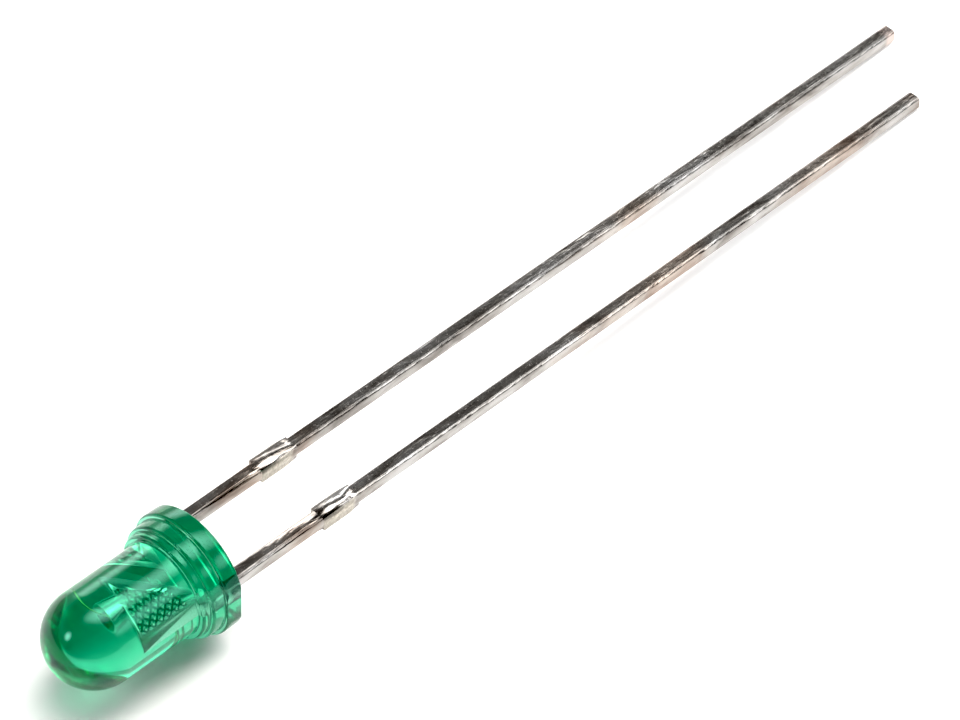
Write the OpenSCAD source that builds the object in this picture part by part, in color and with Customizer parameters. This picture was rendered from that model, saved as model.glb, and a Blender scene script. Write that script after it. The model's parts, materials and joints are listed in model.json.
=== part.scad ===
// Through-hole light-emitting diode, 3 mm round, green clear lens, lying on its flange and lead tips.
// It is drawn upright first: Z along the lens axis with the base plane at zero, X towards the cathode
// lead and Y across the leadframe. lie_down() then turns it into the pose in which it rests.

/* [Lens] */
// Diameter of the lens barrel and its dome
lens_d = 3.0; // [2.9:0.05:3.2]
// Height of the cast body, from the base plane to the top of the dome
body_h = 5.35; // [5.0:0.05:5.8]
// Diameter of the flange
flange_d = 3.96; // [3.9:0.02:4.2]
// Thickness of the flange
flange_t = 0.55; // [0.4:0.05:0.7]
// Diameter of the wide collar above the flange
collar_d = 3.66; // [3.56:0.02:3.76]
// Height of the top of the wide collar above the base plane
collar_h = 1.00; // [0.9:0.05:1.1]
// Diameter of the narrow collar, where the mould cup ends
step_d = 3.38; // [3.3:0.02:3.44]
// Height of the top of the narrow collar above the base plane
step_h = 1.25; // [1.2:0.05:1.4]
// Distance from the lens axis to the flat that marks the cathode
flat_dist = 1.89; // [1.84:0.01:1.92]
// Bevel on the upper edge of each collar and of the flange
rim_bevel = 0.06; // [0.02:0.01:0.08]

/* [Leads] */
// Distance between the lead centres
lead_pitch = 2.54; // [2.5:0.01:2.58]
// Side of the square lead
lead_w = 0.47; // [0.44:0.01:0.5]
// Break on the four long edges of a lead
lead_edge = 0.08; // [0.04:0.01:0.1]
// Length of the anode lead below the base plane
anode_len = 30.6; // [26:0.1:32]
// Length of the cathode lead below the base plane
cathode_len = 28.9; // [25:0.1:31]
// Distance from the base plane to the sheared tie-bar stubs
stub_from = 3.6; // [3:0.1:5]
// Length of a tie-bar stub along the lead
stub_len = 1.4; // [1:0.1:2]
// How far a stub stands out from the side of the lead
stub_out = 0.05; // [0.02:0.01:0.1]

/* [Leadframe] */
// Offset of the leadframe from the lens axis, towards the anode
frame_dx = 0.08; // [0:0.02:0.1]
// Offset of the leadframe from the lens axis, towards its coined face
frame_dy = 0.15; // [0:0.01:0.16]
// Outer edge of the anvil plate, from the middle of the leadframe
anvil_out = 1.26; // [1.2:0.01:1.27]
// Height of the anvil plate's outer shoulder above the base plane
anvil_top = 3.22; // [3.1:0.02:3.3]
// Height of the top of the anode post above the base plane
post_top = 3.16; // [3.0:0.02:3.2]
// Width of the slanted gap between the two plates
plate_gap = 0.42; // [0.36:0.01:0.5]
// Slant of that gap from the base plane, in degrees
gap_slant = 52; // [50:1:56]
// Spacing of the coined diagonal grooves
hatch_pitch = 0.2; // [0.18:0.01:0.25]
// Width of a coined groove
hatch_w = 0.07; // [0.05:0.01:0.09]
// Depth of a coined groove
hatch_depth = 0.03; // [0.02:0.01:0.05]

/* [Cup, die and wire] */
// Height of the rim of the reflector cup above the base plane
cup_rim = 3.50; // [3.45:0.01:3.56]
// Outer diameter of the cup at its rim
cup_d = 0.64; // [0.6:0.02:0.7]
// Depth of the cup
cup_depth = 0.26; // [0.22:0.01:0.28]
// Side of the square die
die_w = 0.22; // [0.2:0.01:0.23]
// Height of the die
die_h = 0.15; // [0.12:0.01:0.16]
// Thickness of the die-attach epoxy
attach_t = 0.02; // [0.01:0.005:0.03]
// Diameter of the bond wire
wire_d = 0.03; // [0.025:0.005:0.04]
// Rise of the wire loop above the line between its two ends
wire_rise = 0.26; // [0.2:0.02:0.34]

/* [Hidden] */
$fn = 96;

epoxy_green = [0.05, 0.62, 0.42, 0.6];
tin_grey = [0.66, 0.66, 0.65];
die_yellow = [0.82, 0.78, 0.55];
silver_epoxy = [0.75, 0.75, 0.78];
gold = [0.90, 0.72, 0.30];

lens_r = lens_d / 2;
flange_r = flange_d / 2;
dome_z = body_h - lens_r;
cut = 1;                              // extra length of a cutting tool past the face it cuts

lead_x = lead_pitch / 2;              // lead centre, from the middle of the leadframe
half = lead_w / 2;
stub_taper = 0.45;                    // sloped far end of a stub, where the tie bar tore

// Plate outlines, in X and Z from the middle of the leadframe.
neck_z = 0.95;                        // where a plate narrows to its lead
post_in = -0.98;                      // inner edge of the anode post
slant = tan(gap_slant);
gap_x = plate_gap / sin(gap_slant);   // the gap measured along X
foot_x = 0.02;                        // innermost corner of the anode plate
foot_z = 1.22;
wedge_z = foot_z + (foot_x - post_in) * slant;
arm_x = -0.66;                        // tip of the anvil's arm, over the gap
arm_z = foot_z + (foot_x + gap_x - arm_x) * slant;
notch_x = 0.30;                       // lower inner corner of the anvil plate
notch_z = foot_z + (foot_x + gap_x - notch_x) * slant;
hatch_margin = 0.12;                  // plain border around a coined field

cup_floor = cup_rim - cup_depth;
cup_foot = 2.70;                      // where the cup's outside runs into the anvil
cup_lip = 0.05;
cup_floor_r = 0.17;
attach_r = 0.16;
die_z = cup_floor + attach_t;
die_top = die_z + die_h;

ball_r = 0.04;
ball_h = 0.04;
tail_l = 0.12;                        // wedge bond on the anode post
tail_w = 0.07;
bond_x = (post_in - anvil_out) / 2;

// Wire loop: one arc through the ball at the die and the wedge bond on the post.
wire_a = [0, die_top + ball_h / 2];
wire_b = [bond_x, post_top + wire_d / 2];
chord = norm(wire_a - wire_b);
loop_r = (chord * chord / 4 + wire_rise * wire_rise) / (2 * wire_rise);
chord_dir = (wire_a - wire_b) / chord;
loop_c = (wire_a + wire_b) / 2 - [-chord_dir[1], chord_dir[0]] * (loop_r - wire_rise);
loop_start = atan2(wire_a[1] - loop_c[1], wire_a[0] - loop_c[0]);
loop_span = 2 * asin(chord / 2 / loop_r);

// Rest pose: the flange rim and both lead tips touch the ground, so the axis slopes down towards the
// tips, and the shorter cathode lead brings its side down a little.
under_z = frame_dy - half;
edge_in = half - lead_edge;
anode_y = lead_x + frame_dx;
cathode_y = -(lead_x - frame_dx);
fall = flange_r + under_z;
roll = fall * (anode_len - cathode_len)
     / ((anode_y - edge_in) * cathode_len - (cathode_y - edge_in) * anode_len) * 180 / PI;
tilt = atan((flange_r + under_z * cos(roll) + (anode_y - edge_in) * sin(roll)) / anode_len);
lift = flange_r * cos(tilt);
tip_top = (frame_dy + half) * cos(roll) + (anode_y + edge_in) * sin(roll);
x_mid = (anode_len * cos(tilt) + tip_top * sin(tilt) - dome_z * cos(tilt) - lens_r) / 2;
flat_angle = acos(flat_dist / flange_r);
y_mid = flange_r * (1 - cos(flat_angle - roll)) / 2;

module lie_down() {
    translate([-x_mid, -y_mid, lift])
        rotate([0, tilt, 0])
            rotate([90 + roll, 0, 0])
                rotate([0, -90, 0])
                    children();
}

// Turns an outline drawn in X and Z into a plate as thick as the leads.
module plate() {
    translate([-frame_dx, frame_dy + half, 0])
        rotate([90, 0, 0])
            linear_extrude(height = lead_w)
                children();
}

// Square lead with broken edges and a tie-bar stub on both sides.
module lead(x, length) {
    in = half - lead_edge;
    translate([x - frame_dx, frame_dy, -length])
        linear_extrude(height = length + neck_z)
            polygon([
                [-half, -in], [-in, -half], [in, -half], [half, -in],
                [half, in], [in, half], [-in, half], [-half, in]
            ]);
    side = half + stub_out;
    plate()
        polygon([
            [x - side, -stub_from], [x - side, -stub_from - stub_len + stub_taper],
            [x - half, -stub_from - stub_len], [x + half, -stub_from - stub_len],
            [x + side, -stub_from - stub_len + stub_taper], [x + side, -stub_from]
        ]);
}

module anvil_outline() {
    polygon([
        [lead_x - half, neck_z - 0.25], [lead_x + half, neck_z - 0.25],
        [lead_x + half, neck_z], [anvil_out, neck_z + 0.15],
        [anvil_out, anvil_top], [arm_x, arm_z],
        [notch_x, notch_z]
    ]);
}

module post_outline() {
    polygon([
        [-lead_x + half, neck_z - 0.25], [-lead_x - half, neck_z - 0.25],
        [-lead_x - half, neck_z], [-anvil_out, neck_z + 0.15],
        [-anvil_out, post_top], [post_in, post_top],
        [post_in, wedge_z], [foot_x, foot_z]
    ]);
}

// Diagonal grooves both ways over a square of the plate, to be cut from its coined face.
module hatch(x, z, size) {
    count = floor(size / hatch_pitch);
    translate([x - frame_dx, frame_dy + half, z])
        for (turn = [45, -45])
            rotate([0, turn, 0])
                for (i = [-count : count])
                    translate([i * hatch_pitch - hatch_w / 2, -hatch_depth, -size])
                        cube([hatch_w, cut, 2 * size]);
}

// A coined field: the grooves end where the plain border of the plate begins.
module coined_field(x, z, size) {
    intersection() {
        hatch(x, z, size);
        translate([0, frame_dy + half - 2 * hatch_depth, 0])
            rotate([-90, 0, 0])
                linear_extrude(height = cut)
                    mirror([0, 1])
                        translate([-frame_dx, 0])
                            children();
    }
}

module anvil_field() {
    polygon([
        [anvil_out - hatch_margin, neck_z + 0.45],
        [anvil_out - hatch_margin, anvil_top - hatch_margin],
        [arm_x + 0.36, arm_z + 0.04],
        [notch_x + 0.16, notch_z + 0.06]
    ]);
}

module post_field() {
    polygon([
        [-anvil_out + hatch_margin, neck_z + 0.35],
        [-anvil_out + hatch_margin, wedge_z],
        [post_in - 0.02, wedge_z - 0.1],
        [foot_x - 0.3, foot_z + 0.12]
    ]);
}

// Reflector cup, swaged out of the top of the anvil.
module cup() {
    translate([-frame_dx, frame_dy, 0])
        difference() {
            translate([0, 0, cup_foot])
                cylinder(h = cup_rim - cup_foot, r1 = half, r2 = cup_d / 2);
            translate([0, 0, cup_floor])
                cylinder(h = cup_depth, r1 = cup_floor_r, r2 = cup_d / 2 - cup_lip);
            translate([0, 0, cup_rim])
                cylinder(h = cut, r = cup_d);
        }
}

module cathode_frame() {
    difference() {
        union() {
            lead(lead_x, cathode_len);
            plate()
                anvil_outline();
        }
        coined_field(0.4, 2.2, 2.0)
            anvil_field();
    }
    cup();
}

module anode_frame() {
    difference() {
        union() {
            lead(-lead_x, anode_len);
            plate()
                post_outline();
        }
        coined_field(-0.8, 1.9, 1.4)
            post_field();
    }
}

module attach_dot() {
    translate([-frame_dx, frame_dy, cup_floor])
        cylinder(h = attach_t, r = attach_r);
}

module die_block() {
    translate([-frame_dx - die_w / 2, frame_dy - die_w / 2, die_z])
        cube([die_w, die_w, die_h]);
}

// Gold wire: ball on the die, one loop, and a wedge bond on the anode post.
module wire() {
    translate([-frame_dx, frame_dy, 0]) {
        translate([0, 0, die_top])
            cylinder(h = ball_h, r = ball_r, $fn = 32);
        translate([loop_c[0], 0, loop_c[1]])
            rotate([90, 0, 0])
                rotate([0, 0, loop_start])
                    rotate_extrude(angle = loop_span)
                        translate([loop_r, 0])
                            circle(d = wire_d, $fn = 24);
        translate([bond_x - tail_l / 2, -tail_w / 2, post_top])
            cube([tail_l, tail_w, wire_d]);
    }
}

// Round step of the body with a bevelled upper edge.
module tier(r, top) {
    cylinder(h = top - rim_bevel, r = r);
    translate([0, 0, top - rim_bevel])
        cylinder(h = rim_bevel, r1 = r, r2 = r - rim_bevel);
}

module cast_outside() {
    difference() {
        tier(flange_r, flange_t);
        translate([flat_dist, -flange_d, -cut])
            cube([flange_d, 2 * flange_d, flange_t + 2 * cut]);
    }
    tier(collar_d / 2, collar_h);
    tier(step_d / 2, step_h);
    cylinder(h = dome_z, r = lens_r);
    translate([0, 0, dome_z])
        sphere(r = lens_r);
}

module lens_body() {
    color(epoxy_green)
        lie_down()
            difference() {
                cast_outside();
                cathode_frame();
                anode_frame();
                attach_dot();
                die_block();
                wire();
            }
}

module cathode_lead() {
    color(tin_grey)
        lie_down()
            cathode_frame();
}

module anode_lead() {
    color(tin_grey)
        lie_down()
            anode_frame();
}

module led_die() {
    color(die_yellow)
        lie_down()
            die_block();
}

module die_attach() {
    color(silver_epoxy)
        lie_down()
            attach_dot();
}

module bond_wire() {
    color(gold)
        lie_down()
            wire();
}

lens_body();
cathode_lead();
anode_lead();
led_die();
die_attach();
bond_wire();
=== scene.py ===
import json
import math

import bmesh
import bpy
from mathutils import Matrix, Vector


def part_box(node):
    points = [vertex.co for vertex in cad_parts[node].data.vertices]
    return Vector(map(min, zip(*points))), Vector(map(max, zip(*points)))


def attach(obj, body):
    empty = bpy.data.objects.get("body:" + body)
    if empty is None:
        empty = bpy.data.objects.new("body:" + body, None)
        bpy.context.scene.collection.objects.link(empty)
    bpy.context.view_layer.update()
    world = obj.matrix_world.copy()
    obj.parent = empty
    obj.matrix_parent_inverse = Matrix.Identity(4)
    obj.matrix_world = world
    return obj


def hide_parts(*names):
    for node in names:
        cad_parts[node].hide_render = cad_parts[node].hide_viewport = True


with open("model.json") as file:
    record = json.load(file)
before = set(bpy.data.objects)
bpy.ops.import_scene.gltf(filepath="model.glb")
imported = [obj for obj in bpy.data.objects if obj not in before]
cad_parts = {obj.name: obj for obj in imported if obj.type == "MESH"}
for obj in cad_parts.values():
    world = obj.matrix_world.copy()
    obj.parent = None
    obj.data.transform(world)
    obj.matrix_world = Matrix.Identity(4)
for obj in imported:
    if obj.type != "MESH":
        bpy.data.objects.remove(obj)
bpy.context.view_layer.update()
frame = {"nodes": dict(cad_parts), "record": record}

# Driving dimensions of the diode in millimetres, in its upright frame: Z along the lens axis with the
# base plane at zero, X towards the cathode lead, Y out of the coined face of the leadframe.
SKIN = 0.003                            # how far the smooth lens stays inside the CAD one
LENS_R = 1.5 - SKIN
BODY_H = 5.35 - SKIN
DOME_Z = BODY_H - LENS_R
FLANGE_R, FLANGE_T = 1.98 - SKIN, 0.55
COLLAR_R, COLLAR_H = 1.83 - SKIN, 1.00
STEP_R, STEP_H = 1.69 - SKIN, 1.25
FLAT_DIST, FLAT_ROUND = 1.89 - SKIN, 0.03
FLAT_REACH = 0.06                       # above the flange, so that the flat cuts its fillet too
BASE_ROUND, OUTER_ROUND, INNER_ROUND = 0.025, 0.085, 0.05
BASE_RIM = 0.05                         # plain ring left at the base, inside its round

FRAME_DX, FRAME_DY = -0.08, 0.15        # the leadframe's middle, from the lens axis
LEAD_X, LEAD_W = 1.27, 0.47
LEAD_ROUND = 0.04
CUP_FLOOR, POST_TOP = 3.24, 3.16
DIE_W, DIE_H, DIE_BEVEL = 0.22, 0.15, 0.006
ATTACH_T, ATTACH_R, ATTACH_ROUND = 0.02, 0.16, 0.03
ATTACH_GAP = 0.001                      # between the dot and the cup's floor
BOND_X = -1.12                          # the wedge bond, from the leadframe's middle
WIRE_R = 0.015
WIRE_RISE = 0.26                        # how far the wire loop bows out from its chord
BALL_R, BALL_H = 0.04, 0.04
TAIL_L, TAIL_W, TAIL_BEVEL = 0.12, 0.07, 0.01
REST_ROLL = math.radians(2.4385)        # about the lens axis, as it lies on its two uneven leads

# Into how many steps the round things are cut.
LENS_SIDES, BASE_RINGS, BARREL_ROWS, DOME_ROWS, FILLET_STEPS = 192, 8, 6, 48, 6
ATTACH_SIDES, ATTACH_ROWS = 48, 8
WIRE_SIDES, WIRE_ROWS = 16, 64
BALL_SIDES, BALL_ROWS = 32, 10

MM = 0.001


def diode_pose():
    """Matrix from the upright frame in millimetres to the row's frame in metres."""
    mounts = {m["name"]: m for m in frame["record"]["mounts"]}
    base = Vector(mounts["base_face"]["pos_m"])
    dome = Vector(mounts["lens_barrel"]["axis"]).normalized()
    level = Vector((0, -1, 0))
    above = dome.cross(level)
    x = level * math.cos(REST_ROLL) - above * math.sin(REST_ROLL)
    y = above * math.cos(REST_ROLL) + level * math.sin(REST_ROLL)
    turn = Matrix((x, y, dome)).transposed().to_4x4()
    return Matrix.Translation(base) @ turn @ Matrix.Scale(MM, 4)


POSE = diode_pose()


# ---------------------------------------------------------------- mesh helpers

def linked_object(name, data):
    """An object with this data, put in the scene."""
    obj = bpy.data.objects.new(name, data)
    bpy.context.scene.collection.objects.link(obj)
    return obj


def make_object(name, verts, faces, smooth_angle=40):
    """A mesh object whose vertices, given in the upright frame, are placed in the row's frame."""
    mesh = bpy.data.meshes.new(name)
    mesh.from_pydata([POSE @ Vector(v) for v in verts], [], faces)
    bm = bmesh.new()
    bm.from_mesh(mesh)
    bmesh.ops.remove_doubles(bm, verts=bm.verts, dist=1e-8)
    bmesh.ops.recalc_face_normals(bm, faces=bm.faces)
    bm.to_mesh(mesh)
    bm.free()
    mesh.shade_smooth()
    mesh.set_sharp_from_angle(angle=math.radians(smooth_angle))
    return linked_object(name, mesh)


def rounded_path(points, radii):
    """The open path through the points, with each inner corner turned into an arc of its radius."""
    path = [Vector(points[0])]
    for before, here, after, r in zip(points, points[1:], points[2:], radii):
        here, before, after = Vector(here), Vector(before), Vector(after)
        u, v = (before - here).normalized(), (after - here).normalized()
        half = math.acos(u.dot(v)) / 2
        reach = r / math.tan(half)
        centre = here + (u + v).normalized() * r / math.sin(half)
        start, end = here + u * reach - centre, here + v * reach - centre
        for i in range(FILLET_STEPS + 1):
            path.append(centre + start.slerp(end, i / FILLET_STEPS) * r)
    path.append(Vector(points[-1]))
    return path


def circle_point(r, z, a):
    """Point at a radius, height and angle about Z."""
    return r * math.cos(a), r * math.sin(a), z


def revolve(path, angles, shape=circle_point):
    """Mesh of a path of (r, z) turned about Z; a path point on the axis becomes a pole."""
    verts, rows, faces = [], [], []
    for r, z in path:
        if r < 1e-9:
            rows.append([len(verts)] * len(angles))
            verts.append((0, 0, z))
        else:
            rows.append(list(range(len(verts), len(verts) + len(angles))))
            verts += [shape(r, z, a) for a in angles]
    for low, high in zip(rows, rows[1:]):
        for i in range(len(angles)):
            j = (i + 1) % len(angles)
            face = [low[i], low[j], high[j], high[i]]
            face = [v for k, v in enumerate(face) if v not in face[:k]]
            if len(face) > 2:
                faces.append(face)
    return verts, faces


def bevelled_box(low, high, bevel):
    """Mesh of a box with softened edges."""
    bm = bmesh.new()
    bmesh.ops.create_cube(bm, size=1.0)
    bmesh.ops.scale(bm, vec=[h - l for l, h in zip(low, high)], verts=bm.verts)
    bmesh.ops.translate(bm, vec=[(h + l) / 2 for l, h in zip(low, high)], verts=bm.verts)
    bmesh.ops.bevel(bm, geom=bm.edges[:], offset=bevel, segments=2, profile=0.6, affect="EDGES")
    bm.verts.index_update()
    verts = [tuple(v.co) for v in bm.verts]
    faces = [[v.index for v in f.verts] for f in bm.faces]
    bm.free()
    return verts, faces


def joined(*meshes):
    """Several meshes as one."""
    verts, faces = [], []
    for more, skin in meshes:
        faces += [[k + len(verts) for k in face] for face in skin]
        verts += more
    return verts, faces


def on_frame(verts):
    """The vertices moved from the lens axis to the leadframe's middle."""
    return [(x + FRAME_DX, y + FRAME_DY, z) for x, y, z in verts]


def even_angles(count):
    """Angles of a full turn in equal steps."""
    return [2 * math.pi * i / count for i in range(count)]


# ---------------------------------------------------------------- cast lens

def flat_limit(z):
    """How far towards the cathode the flange may reach at this height."""
    into = max(0.0, FLAT_ROUND - z, z - (FLANGE_T - FLAT_ROUND))
    drop = math.sqrt(max(0.0, FLAT_ROUND * FLAT_ROUND - min(into, FLAT_ROUND) ** 2))
    return FLAT_DIST - (FLAT_ROUND - drop)


def lens_point(r, z, a):
    """Point of the round lens, cut back to the flat where the flange is."""
    x, y, z = circle_point(r, z, a)
    if z <= FLANGE_T + FLAT_REACH:
        x = min(x, flat_limit(z))
    return x, y, z


def lens_profile():
    """Half outline of the lens as (r, z), from the middle of its base to the top of its dome."""
    corners = [
        (0.0, 0.0), (FLANGE_R, 0.0), (FLANGE_R, FLANGE_T), (COLLAR_R, FLANGE_T),
        (COLLAR_R, COLLAR_H), (STEP_R, COLLAR_H), (STEP_R, STEP_H), (LENS_R, STEP_H),
        (LENS_R, DOME_Z),
    ]
    radii = [BASE_ROUND] + [OUTER_ROUND, INNER_ROUND] * 3
    stepped = [(v.x, v.y) for v in rounded_path(corners, radii)]
    base_r = FLANGE_R - BASE_RIM
    base = [(base_r * k / BASE_RINGS, 0.0) for k in range(BASE_RINGS)]
    barrel_h = DOME_Z - STEP_H - INNER_ROUND
    barrel = [(LENS_R, STEP_H + INNER_ROUND + barrel_h * k / BARREL_ROWS)
              for k in range(1, BARREL_ROWS)]
    dome = [(LENS_R * math.cos(t), DOME_Z + LENS_R * math.sin(t))
            for t in [math.pi / 2 * k / DOME_ROWS for k in range(1, DOME_ROWS)]]
    return base + stepped[1:-1] + barrel + stepped[-1:] + dome + [(0.0, DOME_Z + LENS_R)]


def lens_angles():
    """Even steps round the lens, but with a step exactly at each end of the flange's flat."""
    corner = math.acos(FLAT_DIST / FLANGE_R)
    too_near = 0.012
    kept = [a for a in even_angles(LENS_SIDES)
            if abs(abs(a - math.pi) - (math.pi - corner)) > too_near]
    return sorted(kept + [corner, 2 * math.pi - corner])


def build_lens():
    """The cast body, solid, with the leadframe set in it."""
    verts, faces = revolve(lens_profile(), lens_angles(), lens_point)
    return make_object("lens_epoxy", verts, faces, 50)


# ---------------------------------------------------------------- die, glue and wire

def lumpy_point(r, z, a):
    """Point of a dot that has spread a little unevenly."""
    r *= 1 - 0.03 * (1 + math.sin(3 * a + 0.6)) - 0.02 * (1 + math.sin(5 * a))
    return circle_point(r, z, a)


def build_attach():
    """Dot of silver-filled epoxy under the die, with a rounded rim."""
    low = CUP_FLOOR + ATTACH_GAP
    path = [(0.0, low), (ATTACH_R, low)]
    for k in range(ATTACH_ROWS + 1):
        t = math.pi / 2 * k / ATTACH_ROWS
        path.append((ATTACH_R - ATTACH_ROUND + ATTACH_ROUND * math.cos(t),
                     low + (ATTACH_T - ATTACH_GAP) * math.sin(t)))
    path.append((0.0, CUP_FLOOR + ATTACH_T))
    verts, faces = revolve(path, even_angles(ATTACH_SIDES), lumpy_point)
    return make_object("die_attach_dot", on_frame(verts), faces)


def build_die():
    """Sawn crystal on its dot of glue, with its edges just broken."""
    half, z = DIE_W / 2, CUP_FLOOR + ATTACH_T
    verts, faces = bevelled_box((-half, -half, z), (half, half, z + DIE_H), DIE_BEVEL)
    return make_object("led_die_chip", on_frame(verts), faces)


def wire_path():
    """Arc of the wire loop, from the ball on the die to the wedge bond on the anode post."""
    a = Vector((0.0, CUP_FLOOR + ATTACH_T + DIE_H + BALL_H / 2))
    b = Vector((BOND_X, POST_TOP + WIRE_R))
    chord = a - b
    radius = (chord.length ** 2 / 4 + WIRE_RISE ** 2) / (2 * WIRE_RISE)
    across = Vector((-chord.y, chord.x)).normalized()
    centre = (a + b) / 2 - across * (radius - WIRE_RISE)
    start = math.atan2(a.y - centre.y, a.x - centre.x)
    span = 2 * math.asin(chord.length / 2 / radius)
    turns = [start + span * i / WIRE_ROWS for i in range(WIRE_ROWS + 1)]
    return [centre + Vector((math.cos(t), math.sin(t))) * radius for t in turns]


def wire_tube():
    """Mesh of the round wire along its path, closed at both ends."""
    path = wire_path()
    last = len(path) - 1
    verts, faces = [], []
    for i, p in enumerate(path):
        ahead = (path[min(i + 1, last)] - path[max(i - 1, 0)]).normalized()
        out = Vector((-ahead.y, ahead.x))
        for t in even_angles(WIRE_SIDES):
            q = p + out * WIRE_R * math.cos(t)
            verts.append((q.x, WIRE_R * math.sin(t), q.y))
    for i in range(0, last * WIRE_SIDES, WIRE_SIDES):
        for k in range(WIRE_SIDES):
            j = (k + 1) % WIRE_SIDES
            faces.append((i + k, i + j, i + WIRE_SIDES + j, i + WIRE_SIDES + k))
    faces.append(tuple(range(WIRE_SIDES)))
    faces.append(tuple(range(len(verts) - 1, last * WIRE_SIDES - 1, -1)))
    return verts, faces


def ball_bond():
    """Mesh of the flattened ball that welds the wire to the die."""
    z = CUP_FLOOR + ATTACH_T + DIE_H
    path = [(0.0, z)]
    for k in range(BALL_ROWS + 1):
        t = math.pi * (k / BALL_ROWS - 0.5)
        path.append((BALL_R * (0.86 + 0.14 * math.cos(t)), z + BALL_H * (0.5 + 0.5 * math.sin(t))))
    path.append((0.0, z + BALL_H))
    return revolve(path, even_angles(BALL_SIDES))


def wedge_bond():
    """Mesh of the pressed tail of the wire on the anode post."""
    return bevelled_box((BOND_X - TAIL_L / 2, -TAIL_W / 2, POST_TOP),
                        (BOND_X + TAIL_L / 2, TAIL_W / 2, POST_TOP + 2 * WIRE_R), TAIL_BEVEL)


def build_wire():
    """Gold bond wire: its loop, the ball on the die and the wedge on the post."""
    verts, faces = joined(wire_tube(), ball_bond(), wedge_bond())
    return make_object("bond_wire_gold", on_frame(verts), faces)


# ---------------------------------------------------------------- leads

OUTSIDE = -0.1                          # height below which a lead is clear of the lens
BREAK_LENGTH, BREAK_ALONG = 0.5, 0.999  # of an edge to round: its length, and how much runs along Z
BREAK_TURN = (math.radians(35), math.radians(55))


def long_breaks(bm, upright):
    """The lead's lengthwise edges outside the lens, where its corner breaks turn by 45 degrees."""
    breaks = []
    for e in bm.edges:
        a, b = (upright @ v.co for v in e.verts)
        run = b - a
        lengthwise = abs(run.z) > BREAK_LENGTH and abs(run.z) > BREAK_ALONG * run.length
        if lengthwise and min(a.z, b.z) < OUTSIDE and e.is_manifold:
            if BREAK_TURN[0] < e.calc_face_angle() < BREAK_TURN[1]:
                breaks.append(e)
    return breaks


def build_lead(name, node):
    """The CAD lead with the breaks along its outer edges turned into rounds."""
    mesh = frame["nodes"][node].data.copy()
    mesh.name = name
    bm = bmesh.new()
    bm.from_mesh(mesh)
    bmesh.ops.remove_doubles(bm, verts=bm.verts, dist=2e-8)

    # Flat faces outside the lens become whole again, so that the bevel runs along them evenly.
    upright = POSE.inverted()
    outer = {v for v in bm.verts if (upright @ v.co).z < 0}
    bmesh.ops.dissolve_limit(bm, angle_limit=math.radians(0.3),
                             verts=[v for v in bm.verts if v in outer],
                             edges=[e for e in bm.edges if outer.issuperset(e.verts)])
    bmesh.ops.bevel(bm, geom=long_breaks(bm, upright), offset=LEAD_ROUND * MM, segments=3,
                    profile=0.5, affect="EDGES", clamp_overlap=True)

    # No slivers or many-sided faces are left for the export to split.
    bmesh.ops.dissolve_degenerate(bm, dist=2e-7, edges=bm.edges)
    bmesh.ops.triangulate(bm, faces=[f for f in bm.faces if len(f.verts) > 4])
    bmesh.ops.recalc_face_normals(bm, faces=bm.faces)
    bm.to_mesh(mesh)
    bm.free()

    mesh.shade_smooth()
    mesh.set_sharp_from_angle(angle=math.radians(35))
    obj = linked_object(name, mesh)
    obj.modifiers.new("even_shading", "WEIGHTED_NORMAL").keep_sharp = True
    return obj


# ---------------------------------------------------------------- node helpers

def grey(level):
    """Colour with the same level in all three channels."""
    return level, level, level


class Nodes:
    """The nodes of a material, light or world, with short ways to add and link them."""

    def __init__(self, owner):
        owner.use_nodes = True
        self.tree = owner.node_tree

    def feed(self, node, inputs):
        """Set each named input to a value, or link it to another node's output."""
        for key, value in inputs.items():
            if isinstance(value, bpy.types.NodeSocket):
                self.tree.links.new(value, node.inputs[key])
            else:
                node.inputs[key].default_value = value

    def add(self, kind, inputs, **settings):
        """A new node with its settings made and its inputs fed."""
        node = self.tree.nodes.new(kind)
        for key, value in settings.items():
            setattr(node, key, value)
        self.feed(node, inputs)
        return node

    def calc(self, operation, *values):
        """The number that an operation makes of one or two numbers."""
        node = self.add("ShaderNodeMath", dict(enumerate(values)), operation=operation)
        return node.outputs["Value"]

    def calc_vector(self, operation, *vectors):
        """The number that an operation makes of one or two vectors."""
        node = self.add("ShaderNodeVectorMath", dict(enumerate(vectors)), operation=operation)
        return node.outputs["Value"]

    def rise(self, source, start, end, low=0.0, high=1.0, shape="SMOOTHSTEP"):
        """Goes from low to high as the source goes from start to end, and stays level beyond."""
        node = self.add("ShaderNodeMapRange",
                        {"Value": source, "From Min": start, "From Max": end,
                         "To Min": low, "To Max": high}, interpolation_type=shape)
        return node.outputs["Result"]


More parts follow.
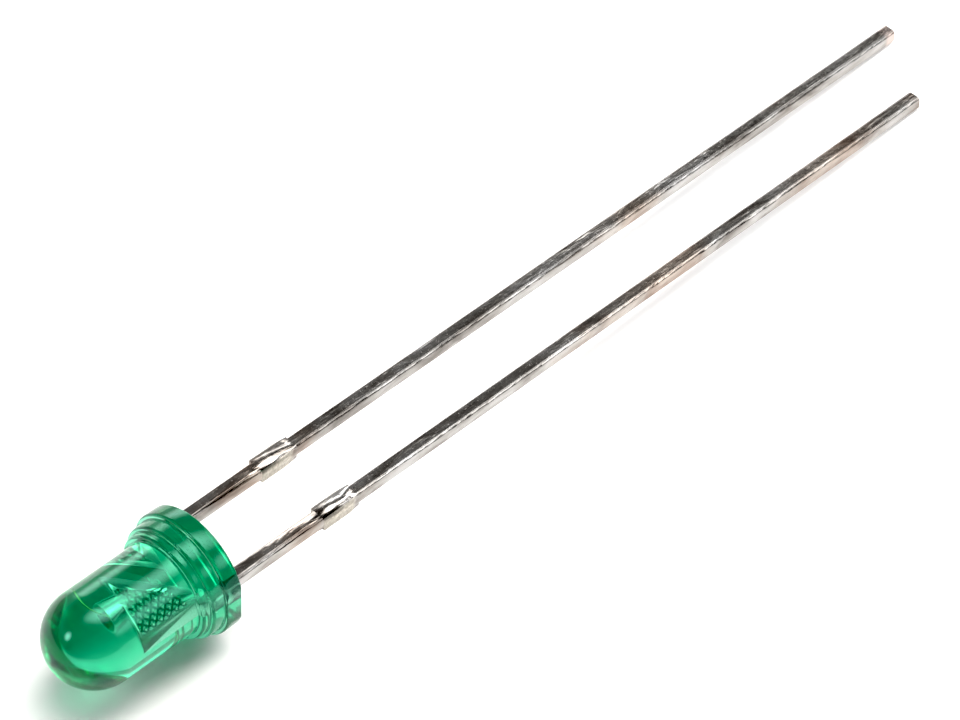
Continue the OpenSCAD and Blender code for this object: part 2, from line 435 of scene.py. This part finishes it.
class MaterialNodes(Nodes):
    """The nodes of a new material, with its shader and its object's coordinates at hand."""

    def __init__(self, name):
        self.material = bpy.data.materials.new(name)
        super().__init__(self.material)
        self.shader = self.tree.nodes["Principled BSDF"]
        self.coords = self.add("ShaderNodeTexCoord", {}).outputs["Object"]

    def noise(self, scale, detail, rough=0.55, distortion=0.0, coords=None):
        """Smooth noise, in the object's own coordinates unless others are given."""
        node = self.add("ShaderNodeTexNoise",
                        {"Vector": self.coords if coords is None else coords, "Scale": scale,
                         "Detail": detail, "Roughness": rough, "Distortion": distortion})
        return node.outputs["Fac"]

    def ramp(self, source, *stops):
        """Colours, each at its place from 0 to 1, picked by the source."""
        node = self.add("ShaderNodeValToRGB", {"Fac": source})
        elements = node.color_ramp.elements
        while len(elements) < len(stops):
            elements.new(0.5)
        for element, (place, colour) in zip(elements, stops):
            element.position = place
            element.color = (*colour, 1)
        return node.outputs["Color"]

    def blend(self, factor, under, over):
        """Mix of two colours, each a constant or another node's output."""
        under, over = ((*c, 1) if isinstance(c, tuple) else c for c in (under, over))
        return self.add("ShaderNodeMix", {0: factor, 6: under, 7: over}, data_type="RGBA").outputs[2]

    def bump(self, height, strength, distance, under=None):
        """Bumps from a height, laid over another bump if one is given."""
        inputs = {"Height": height, "Strength": strength, "Distance": distance}
        if under is not None:
            inputs["Normal"] = under
        return self.add("ShaderNodeBump", inputs).outputs["Normal"]

    def upright_axis(self, column, shift):
        """Position along one axis of the upright frame, in millimetres, less a shift."""
        axis = Vector(POSE.col[column][:3]).normalized()
        base = Vector(POSE.col[3][:3])
        along = self.calc_vector("DOT_PRODUCT", self.coords, axis / MM)
        return self.calc("SUBTRACT", along, base.dot(axis) / MM + shift)


# ---------------------------------------------------------------- materials

def epoxy_material():
    """Clear green casting resin: smooth, with faint flow waves, tinted through its depth."""
    n = MaterialNodes("epoxy_green_clear")
    n.feed(n.shader, {
        "Base Color": (0.34, 0.68, 0.51, 1),
        "Transmission Weight": 1.0,
        "IOR": 1.54,
        "Specular Tint": (0.32, 1.0, 0.78, 1),
        "Roughness": n.ramp(n.noise(900, 3), (0.35, grey(0.012)), (0.75, grey(0.035))),
        "Normal": n.bump(n.noise(420, 2), 0.04, 0.00008),
    })
    tint = n.add("ShaderNodeVolumeAbsorption", {"Color": (0.06, 0.84, 0.68, 1), "Density": 900.0})
    n.feed(n.tree.nodes["Material Output"], {"Volume": tint.outputs["Volume"]})
    return n.material


def torn_mask(n):
    """One on the torn ends of the tie-bar stubs, which stand out past the leads' sides."""
    from_middle = n.calc("ABSOLUTE", n.upright_axis(0, FRAME_DX))
    stand_out = n.calc("ABSOLUTE", n.calc("SUBTRACT", from_middle, LEAD_X))
    return n.rise(stand_out, LEAD_W / 2 + 0.012, LEAD_W / 2 + 0.035)


def streaky_tin(n, blotch):
    """Colour of the tin: grey streaks, browner in broad patches."""
    clean = n.ramp(blotch, (0.34, (0.20, 0.185, 0.17)), (0.50, (0.37, 0.355, 0.335)),
                   (0.66, (0.50, 0.49, 0.48)))
    brown = n.ramp(blotch, (0.34, (0.27, 0.20, 0.16)), (0.66, (0.55, 0.48, 0.42)))
    return n.blend(n.rise(n.noise(260, 3, 0.5), 0.50, 0.72), clean, brown)


def silver_plating_and_groove_shade(n):
    """Colour of the plated metal inside the lens, with painted shade darkening it down in the coined
    grooves.
    """
    ramp_low, ramp_span = 0.05, 0.1       # the ramp starts this far below the coined face
    above_low = n.upright_axis(1, FRAME_DY + LEAD_W / 2 - ramp_low)
    # painted shade: a darker colour at the grooves' depth, which also marks a thin band at that depth
    # along the plates' sides
    silver, painted_shade = (0.98, 0.97, 0.93), (0.26, 0.34, 0.28)
    return n.ramp(n.calc("MULTIPLY", above_low, 1 / ramp_span),
                  (0.10, silver), (0.17, painted_shade), (0.26, painted_shade), (0.42, silver))


def tin_material():
    """Tinned steel, streaky along the lead and torn at the stubs, and silver inside the lens with
    painted shade in its coined grooves.
    """
    n = MaterialNodes("tinned_steel")
    along = n.add("ShaderNodeMapping", {"Vector": n.coords, "Scale": (0.3, 1.0, 1.0)})
    blotch = n.noise(2200, 3, 0.55, 0.3, along.outputs["Vector"])
    grain = n.noise(12000, 4, 0.6)
    height = n.upright_axis(2, 0)
    inner = n.rise(height, 0.1, 0.4)
    cut_end = n.rise(height, -30.1, -30.35)     # bare metal at the longer lead's tip
    torn = torn_mask(n)

    steel = n.ramp(grain, (0.35, (0.46, 0.42, 0.36)), (0.62, (0.66, 0.62, 0.55)))
    outside = n.blend(torn, streaky_tin(n, blotch), steel)
    outside = n.blend(cut_end, outside, (0.60, 0.51, 0.47))
    rough = n.blend(torn, n.ramp(grain, (0.3, grey(0.10)), (0.7, grey(0.28))), grey(0.5))
    pits = n.bump(grain, 0.10, 0.000005)
    n.feed(n.shader, {
        "Base Color": n.blend(inner, outside, silver_plating_and_groove_shade(n)),
        "Roughness": n.blend(inner, rough, grey(0.27)),
        "Metallic": n.blend(inner, grey(1.0), grey(0.75)),
        "Normal": n.bump(blotch, n.blend(inner, grey(0.9), grey(0.04)), 0.00006, pits),
    })
    return n.material


def grainy_material(name, grain, colours, metallic, rough, bump):
    """Two colours mixed by a fine grain, which is its bump as well."""
    n = MaterialNodes(name)
    source = n.noise(*grain)
    dark, pale = colours
    n.feed(n.shader, {
        "Base Color": n.ramp(source, (0.35, dark), (0.65, pale)),
        "Metallic": metallic,
        "Roughness": rough,
        "Normal": n.bump(source, *bump),
    })
    return n.material


def die_material():
    """Sawn semiconductor crystal, speckled amber."""
    return grainy_material("die_crystal", grain=(30000, 4),
                           colours=((0.62, 0.52, 0.40), (0.92, 0.82, 0.66)),
                           metallic=0.0, rough=0.3, bump=(0.3, 0.000004))


def silver_epoxy_material():
    """Glue full of silver flakes."""
    return grainy_material("silver_filled_epoxy", grain=(60000, 3),
                           colours=((0.50, 0.50, 0.52), (0.80, 0.80, 0.82)),
                           metallic=0.8, rough=0.5, bump=(0.5, 0.000003))


def gold_material():
    """Drawn gold wire."""
    return grainy_material("drawn_gold", grain=(40000, 3),
                           colours=((0.86, 0.62, 0.24), (0.98, 0.78, 0.40)),
                           metallic=1.0, rough=0.2, bump=(0.2, 0.000002))


def floor_material():
    """White floor with a painted glow that lifts its shadows, but for a patch under the lens left
    unlit as painted shade.
    """
    n = MaterialNodes("studio_floor")
    low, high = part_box("lens_body")
    middle = [(l + h) / 2 for l, h in zip(low, high)]
    size = [h - l for l, h in zip(low, high)]
    patch = n.add("ShaderNodeMapping",
                  {"Vector": n.coords, "Location": (middle[0], middle[1], 0),
                   "Scale": (size[0], size[1], 1)}, vector_type="TEXTURE")
    reach = n.calc_vector("LENGTH", patch.outputs["Vector"])
    n.feed(n.shader, {
        "Base Color": (0.90, 0.90, 0.90, 1),
        "Roughness": 0.85,
        "Emission Color": (1.0, 1.0, 1.0, 1),
        # painted light: the floor's glow, which fades to nothing in a painted dark patch under the
        # lens
        "Emission Strength": n.rise(reach, 0.32, 0.76, high=0.40),
    })
    return n.material


# ---------------------------------------------------------------- stage, lights, camera

CAM_AIM = Vector((-0.00485, -0.00385, 0.00703))
CAM_DISTANCE = 0.15220
CAM_AZIMUTH = math.radians(42.78)
CAM_ELEVATION = math.radians(46.58)
CAM_ROLL = math.radians(3.41)
CAM_LENS = 206.6

# Name, azimuth and elevation in degrees, distance in metres, width and height in degrees as seen from
# the diode, radiance, colour.
SOFTBOXES = [
    ("overhead", 112, 74, 0.60, (46, 78), 7.0, (1.0, 0.96, 0.92)),
    ("behind_panel", 34, 22, 0.70, (44, 30), 3.2, (1, 1, 1)),
    ("near_panel", 147, 30, 0.65, (34, 30), 3.3, (1, 1, 1)),
    ("tip_panel", 96, 30, 0.70, (64, 48), 4.5, (1, 1, 1)),
    ("dome_panel", -72, 30, 0.60, (20, 26), 9.0, (1, 1, 1)),
]

SWEEP_SIDE = (0.55, 0.84, 0.0)          # towards the middle of the bright sweep
DIM_PATCH = (0.467, 0.504, 0.726)       # towards the middle of the dim patch of sky
FLOOR_HALF = 1.5


def direction(azimuth, elevation):
    """Unit vector at these angles; azimuth zero is +Y, and it turns towards +X."""
    return Vector((math.sin(azimuth) * math.cos(elevation), math.cos(azimuth) * math.cos(elevation),
                   math.sin(elevation)))


def build_camera():
    """Camera above and in front of the dome, looking along the leads."""
    away = direction(CAM_AZIMUTH, -CAM_ELEVATION)
    side = away.cross(Vector((0, 0, 1))).normalized()
    up = side.cross(away)
    up_rolled = up * math.cos(CAM_ROLL) + side * math.sin(CAM_ROLL)
    side_rolled = away.cross(up_rolled)
    data = bpy.data.cameras.new("camera")
    data.lens = CAM_LENS
    data.sensor_width = 36
    data.clip_start = 0.005
    data.clip_end = 20
    cam = linked_object("camera", data)
    turn = Matrix((side_rolled, up_rolled, -away)).transposed().to_4x4()
    cam.matrix_world = Matrix.Translation(CAM_AIM - away * CAM_DISTANCE) @ turn
    bpy.context.scene.camera = cam


def build_softbox(name, azimuth, elevation, distance, spread, radiance, colour):
    """Oval softbox aimed at the diode, brightest in its middle and fading out to its rim."""
    data = bpy.data.lights.new(name, "AREA")
    data.shape = "ELLIPSE"
    data.size, data.size_y = [2 * distance * math.tan(math.radians(a) / 2) for a in spread]
    data.energy = radiance * data.size * data.size_y * math.pi
    data.color = colour
    n = Nodes(data)
    place = n.add("ShaderNodeNewGeometry", {}).outputs["Parametric"]
    from_middle = n.calc_vector("DISTANCE", place, (0.5, 0.5, 0))
    n.feed(n.tree.nodes["Emission"], {"Strength": n.rise(from_middle, 0.5, 0.05)})
    light = linked_object(name, data)
    light.location = direction(math.radians(azimuth), math.radians(elevation)) * distance
    light.rotation_euler = (-light.location).to_track_quat("-Z", "Y").to_euler()


def build_sky():
    """White sweep low behind and past the leads, and a dim patch in the dark above them."""
    world = bpy.data.worlds.new("studio")
    n = Nodes(world)
    ray = n.add("ShaderNodeTexCoord", {}).outputs["Generated"]
    height = n.add("ShaderNodeSeparateXYZ", {"Vector": ray}).outputs["Z"]
    low = n.rise(height, 0.68, 0.45, shape="LINEAR")
    behind = n.rise(n.calc_vector("DOT_PRODUCT", ray, SWEEP_SIDE), -0.45, 0.05, shape="LINEAR")
    dark = n.rise(n.calc_vector("DOT_PRODUCT", ray, DIM_PATCH), 0.955, 0.997, 0.03, 0.20)
    sweep = n.calc("MULTIPLY", low, behind)
    n.feed(n.tree.nodes["Background"],
           {"Color": (1, 1, 1, 1), "Strength": n.rise(sweep, 0.0, 1.0, dark, 0.75, "LINEAR")})
    bpy.context.scene.world = world


def build_floor():
    """The glowing floor, which isn't part of the diode."""
    mesh = bpy.data.meshes.new("floor")
    s = FLOOR_HALF
    mesh.from_pydata([(-s, -s, 0), (s, -s, 0), (s, s, 0), (-s, s, 0)], [], [(0, 1, 2, 3)])
    mesh.materials.append(floor_material())
    floor = linked_object("floor", mesh)


def set_view():
    """Plain view with slightly deepened blacks, and enough bounces for light to pass the lens."""
    scene = bpy.context.scene
    scene.view_settings.view_transform = "Standard"
    scene.view_settings.use_curve_mapping = True
    scene.view_settings.curve_mapping.black_level = grey(0.02)
    scene.view_settings.curve_mapping.update()
    scene.cycles.max_bounces = 24
    scene.cycles.transmission_bounces = 20
    scene.cycles.glossy_bounces = 8


# ---------------------------------------------------------------- assembly

def finish_piece(obj, node, material):
    """Give a piece its material, hang it on the root body and hide the CAD part that it stands for.
    """
    obj.data.materials.clear()
    obj.data.materials.append(material)
    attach(obj, "root")
    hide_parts(node)


build_camera()
for softbox in SOFTBOXES:
    build_softbox(*softbox)
build_sky()
build_floor()
set_view()

finish_piece(build_lens(), "lens_body", epoxy_material())
finish_piece(build_attach(), "die_attach", silver_epoxy_material())
finish_piece(build_die(), "led_die", die_material())
finish_piece(build_wire(), "bond_wire", gold_material())
tin = tin_material()
finish_piece(build_lead("cathode_lead_tinned", "cathode_lead"), "cathode_lead", tin)
finish_piece(build_lead("anode_lead_tinned", "anode_lead"), "anode_lead", tin)
